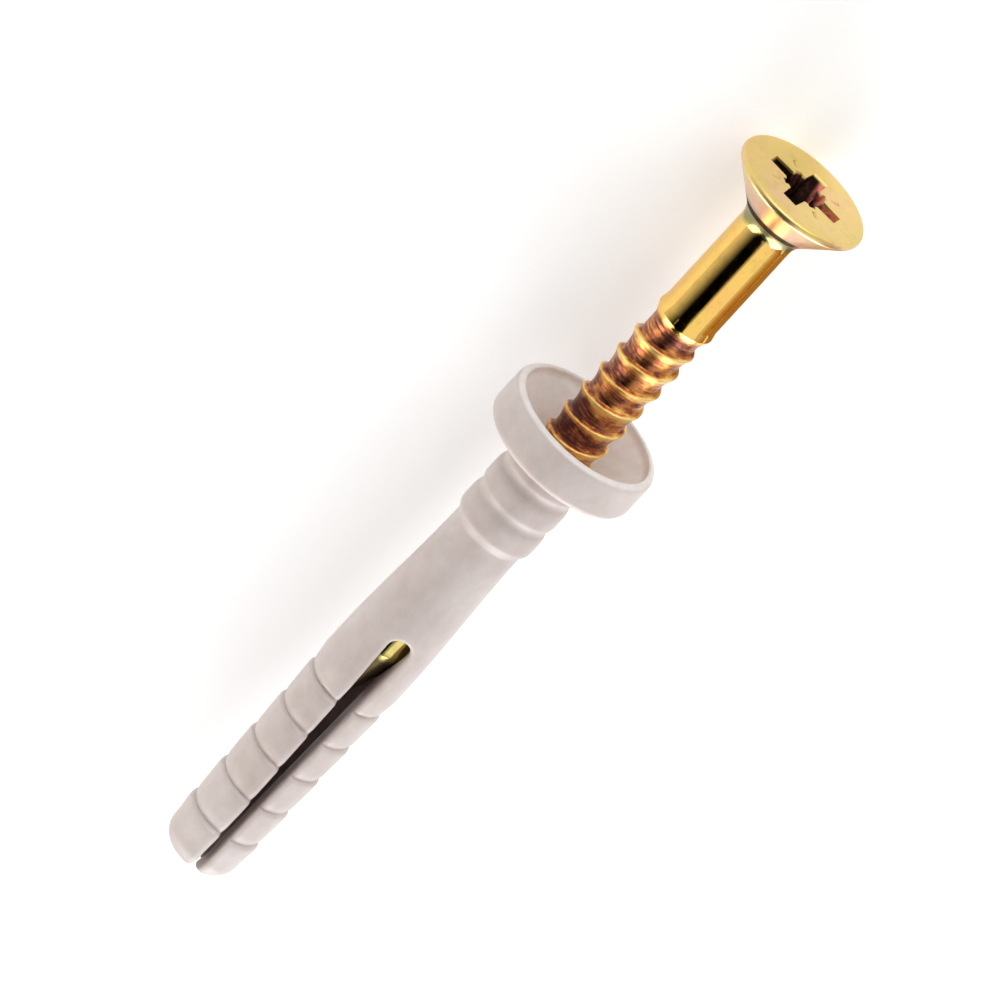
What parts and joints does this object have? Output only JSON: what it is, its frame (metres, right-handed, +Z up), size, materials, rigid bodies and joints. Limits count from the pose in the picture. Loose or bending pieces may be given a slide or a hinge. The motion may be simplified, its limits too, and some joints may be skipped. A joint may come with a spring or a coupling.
{
  "type": "hammer fixing plug",
  "caption": "Slotted nylon wall plug with a cupped collar, holding a countersunk drive-thread nail screw that is hammered in to spread the plug's legs.",
  "frame": {"origin": "on the table, under the middle of the lying fixing", "axes": "+X along the fixing from the plug's tip to the nail's head, +Z up; the axis dips 1.8 degrees towards the head, because the fixing rests on the rims of its collar and its head; the slot's plane is upright"},
  "size_m": [0.054, 0.0094, 0.0094],
  "materials": {
    "nylon": "off-white moulded nylon with a soft sheen",
    "yellow_zinc_steel": "bright yellow-passivated zinc on steel, glossy, faintly iridescent"
  },
  "bodies": {
    "plug": {"plug": "nylon"},
    "nail": {"nail_screw": "yellow_zinc_steel"}
  },
  "joints": [
    {"name": "nail_drive", "type": "slide", "parent": "plug", "child": "nail", "axis": [-0.9995, 0, 0.0317], "range_m": [0, 0.0188], "deforming": ["plug"]}
  ]
}
